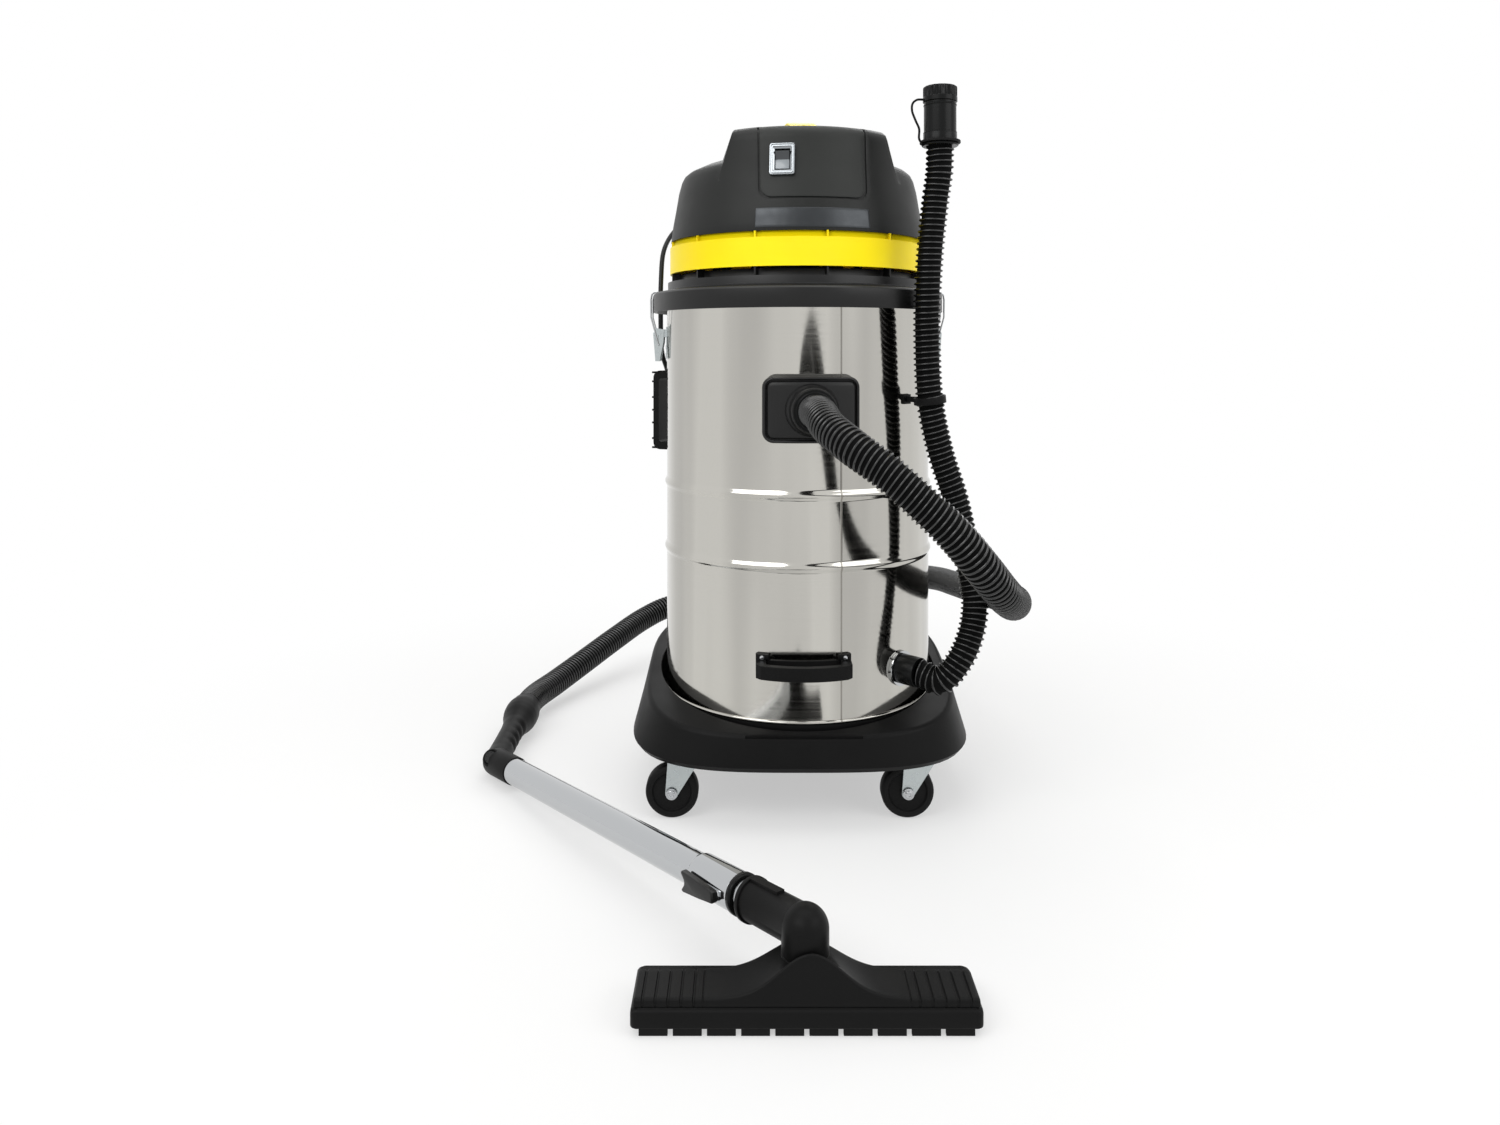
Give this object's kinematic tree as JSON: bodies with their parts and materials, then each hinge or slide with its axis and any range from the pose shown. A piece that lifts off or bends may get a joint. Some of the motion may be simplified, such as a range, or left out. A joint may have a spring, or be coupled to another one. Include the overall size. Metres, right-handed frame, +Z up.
{
  "type": "wet-and-dry vacuum cleaner",
  "caption": "Industrial wet-and-dry vacuum cleaner: steel drum on a castered dolly, latched motor head, suction hose with wand and floor tool, capped drain hose.",
  "frame": {"origin": "on the floor under the drum's axis", "axes": "+Z up; -Y towards the inlet side; +X to the right of someone who faces the inlet side"},
  "size_m": [0.8385, 1.3349, 1.033],
  "materials": {
    "black_plastic": "satin moulded",
    "gloss_black_plastic": "semi-gloss moulded",
    "panel_plastic": "gloss",
    "grip_plastic": "satin",
    "black_rubber": "matte",
    "black_hose": "satin ribbed",
    "clear_rubber": "translucent",
    "wheel_rubber": "matte",
    "yellow_plastic": "semi-gloss moulded",
    "polished_steel": "mirror polished stainless steel",
    "chromed_tube": "chromed",
    "zinc_steel": "zinc plated",
    "motor_steel": "plain",
    "copper": "enamelled windings",
    "aluminium": "pressed",
    "bezel_plastic": "gloss",
    "rocker_plastic": "gloss",
    "white_plastic": "satin",
    "filter_paper": "pleated"
  },
  "bodies": {
    "vacuum": {"dolly": "black_plastic", "caster_plates": "zinc_steel", "drum": "polished_steel", "front_handle": "black_plastic", "side_handle_left": "black_plastic", "side_handle_right": "black_plastic", "fasteners": "zinc_steel", "inlet_plate": "black_plastic", "hose_cuff": "black_rubber", "suction_hose": "black_hose", "hose_grip": "grip_plastic", "wand_outer_tube": "chromed_tube", "wand_sleeve": "black_rubber", "drain_fitting": "polished_steel", "drain_cuff": "black_rubber", "drain_hose": "black_hose", "drain_connector": "black_plastic", "drain_leash": "black_rubber", "drain_clip": "black_rubber", "latch_brackets": "zinc_steel", "head_base": "black_plastic", "head_gasket": "black_rubber", "vent_band": "yellow_plastic", "cover": "gloss_black_plastic", "switch_panel": "panel_plastic", "switch_bezel": "bezel_plastic", "carry_handle": "yellow_plastic", "motor_frame": "motor_steel", "fan_housing": "aluminium", "motor_bearings": "motor_steel", "float_cage": "black_plastic", "filter_cartridge": "filter_paper", "mains_lead": "black_rubber", "lead_coil": "black_rubber", "mains_plug": "black_rubber", "cord_gland": "black_rubber"},
    "lever_left": {"latch_lever_left": "zinc_steel"},
    "lever_right": {"latch_lever_right": "zinc_steel"},
    "wire_left": {"latch_wire_left": "zinc_steel"},
    "wire_right": {"latch_wire_right": "zinc_steel"},
    "rocker": {"switch_rocker": "rocker_plastic"},
    "rotor": {"motor_armature": "copper", "fan_impeller": "aluminium"},
    "float": {"float_ball": "white_plastic"},
    "drain_cap": {"drain_cap": "black_plastic"},
    "regulator": {"grip_regulator": "black_plastic"},
    "wand_inner": {"wand_inner_tube": "chromed_tube", "tool_neck": "black_plastic"},
    "wand_button": {"wand_button": "black_plastic"},
    "floor_tool": {"tool_body": "black_plastic", "tool_lips": "black_rubber", "tool_squeegee": "clear_rubber"},
    "fork_fl": {"caster_fork_fl": "zinc_steel"},
    "wheel_fl": {"caster_wheel_fl": "wheel_rubber"},
    "fork_fr": {"caster_fork_fr": "zinc_steel"},
    "wheel_fr": {"caster_wheel_fr": "wheel_rubber"},
    "fork_rl": {"caster_fork_rl": "zinc_steel"},
    "wheel_rl": {"caster_wheel_rl": "wheel_rubber"},
    "fork_rr": {"caster_fork_rr": "zinc_steel"},
    "wheel_rr": {"caster_wheel_rr": "wheel_rubber"}
  },
  "joints": [
    {"name": "swivel_fl", "type": "hinge", "parent": "vacuum", "child": "fork_fl", "pos_m": [-0.167, -0.165, 0.09], "axis": [0, 0, 1], "continuous": true},
    {"name": "roll_fl", "type": "hinge", "parent": "fork_fl", "child": "wheel_fl", "pos_m": [-0.185, -0.165, 0.0375], "axis": [0, 1, 0], "continuous": true},
    {"name": "swivel_fr", "type": "hinge", "parent": "vacuum", "child": "fork_fr", "pos_m": [0.167, -0.165, 0.09], "axis": [0, 0, 1], "continuous": true},
    {"name": "roll_fr", "type": "hinge", "parent": "fork_fr", "child": "wheel_fr", "pos_m": [0.149, -0.165, 0.0375], "axis": [0, 1, 0], "continuous": true},
    {"name": "swivel_rl", "type": "hinge", "parent": "vacuum", "child": "fork_rl", "pos_m": [-0.167, 0.165, 0.09], "axis": [0, 0, 1], "continuous": true},
    {"name": "roll_rl", "type": "hinge", "parent": "fork_rl", "child": "wheel_rl", "pos_m": [-0.185, 0.165, 0.0375], "axis": [0, 1, 0], "continuous": true},
    {"name": "swivel_rr", "type": "hinge", "parent": "vacuum", "child": "fork_rr", "pos_m": [0.167, 0.165, 0.09], "axis": [0, 0, 1], "continuous": true},
    {"name": "roll_rr", "type": "hinge", "parent": "fork_rr", "child": "wheel_rr", "pos_m": [0.149, 0.165, 0.0375], "axis": [0, 1, 0], "continuous": true},
    {"name": "latch_left", "type": "hinge", "parent": "vacuum", "child": "lever_left", "pos_m": [-0.217, 0, 0.69], "axis": [0, 1, 0], "range_deg": [0, 110]},
    {"name": "latch_wire_left", "type": "hinge", "parent": "lever_left", "child": "wire_left", "pos_m": [-0.218, 0, 0.672], "axis": [0, 1, 0], "range_deg": [-140, 10]},
    {"name": "latch_right", "type": "hinge", "parent": "vacuum", "child": "lever_right", "pos_m": [0.217, 0, 0.69], "axis": [0, -1, 0], "range_deg": [0, 110]},
    {"name": "latch_wire_right", "type": "hinge", "parent": "lever_right", "child": "wire_right", "pos_m": [0.218, 0, 0.672], "axis": [0, -1, 0], "range_deg": [-140, 10]},
    {"name": "switch", "type": "hinge", "parent": "vacuum", "child": "rocker", "pos_m": [-0.02786, -0.1759, 0.93136], "axis": [-0.9877, 0.1564, 0], "range_deg": [0, 16]},
    {"name": "motor", "type": "hinge", "parent": "vacuum", "child": "rotor", "pos_m": [0, 0, 0.86], "axis": [0, 0, 1], "continuous": true},
    {"name": "float_rise", "type": "slide", "parent": "vacuum", "child": "float", "axis": [0, 0, 1], "range_m": [0, 0.067]},
    {"name": "cap_lift", "type": "slide", "parent": "vacuum", "child": "drain_cap", "axis": [0, 0, 1], "range_m": [0, 0.03]},
    {"name": "regulator_turn", "type": "hinge", "parent": "vacuum", "child": "regulator", "pos_m": [-0.47, -0.024, 0.022], "axis": [-0.212, -0.7912, 0.5736], "range_deg": [0, 90]},
    {"name": "wand_extension", "type": "slide", "parent": "vacuum", "child": "wand_inner", "axis": [0.6023, -0.7935, 0.0872], "range_m": [0, 0.35]},
    {"name": "wand_release", "type": "slide", "parent": "vacuum", "child": "wand_button", "axis": [0.6023, -0.7935, 0.0872], "range_m": [0, 0.006], "stiffness_N_per_m": 200},
    {"name": "tool_swivel", "type": "hinge", "parent": "wand_inner", "child": "floor_tool", "pos_m": [-0.01948, -0.61754, 0.08719], "axis": [0, 0, 1], "range_deg": [-20, 95]}
  ],
  "couplings": [
    {"joint": "latch_wire_left", "follows": "latch_left", "ratio": -1.2},
    {"joint": "latch_wire_right", "follows": "latch_right", "ratio": -1.2}
  ]
}
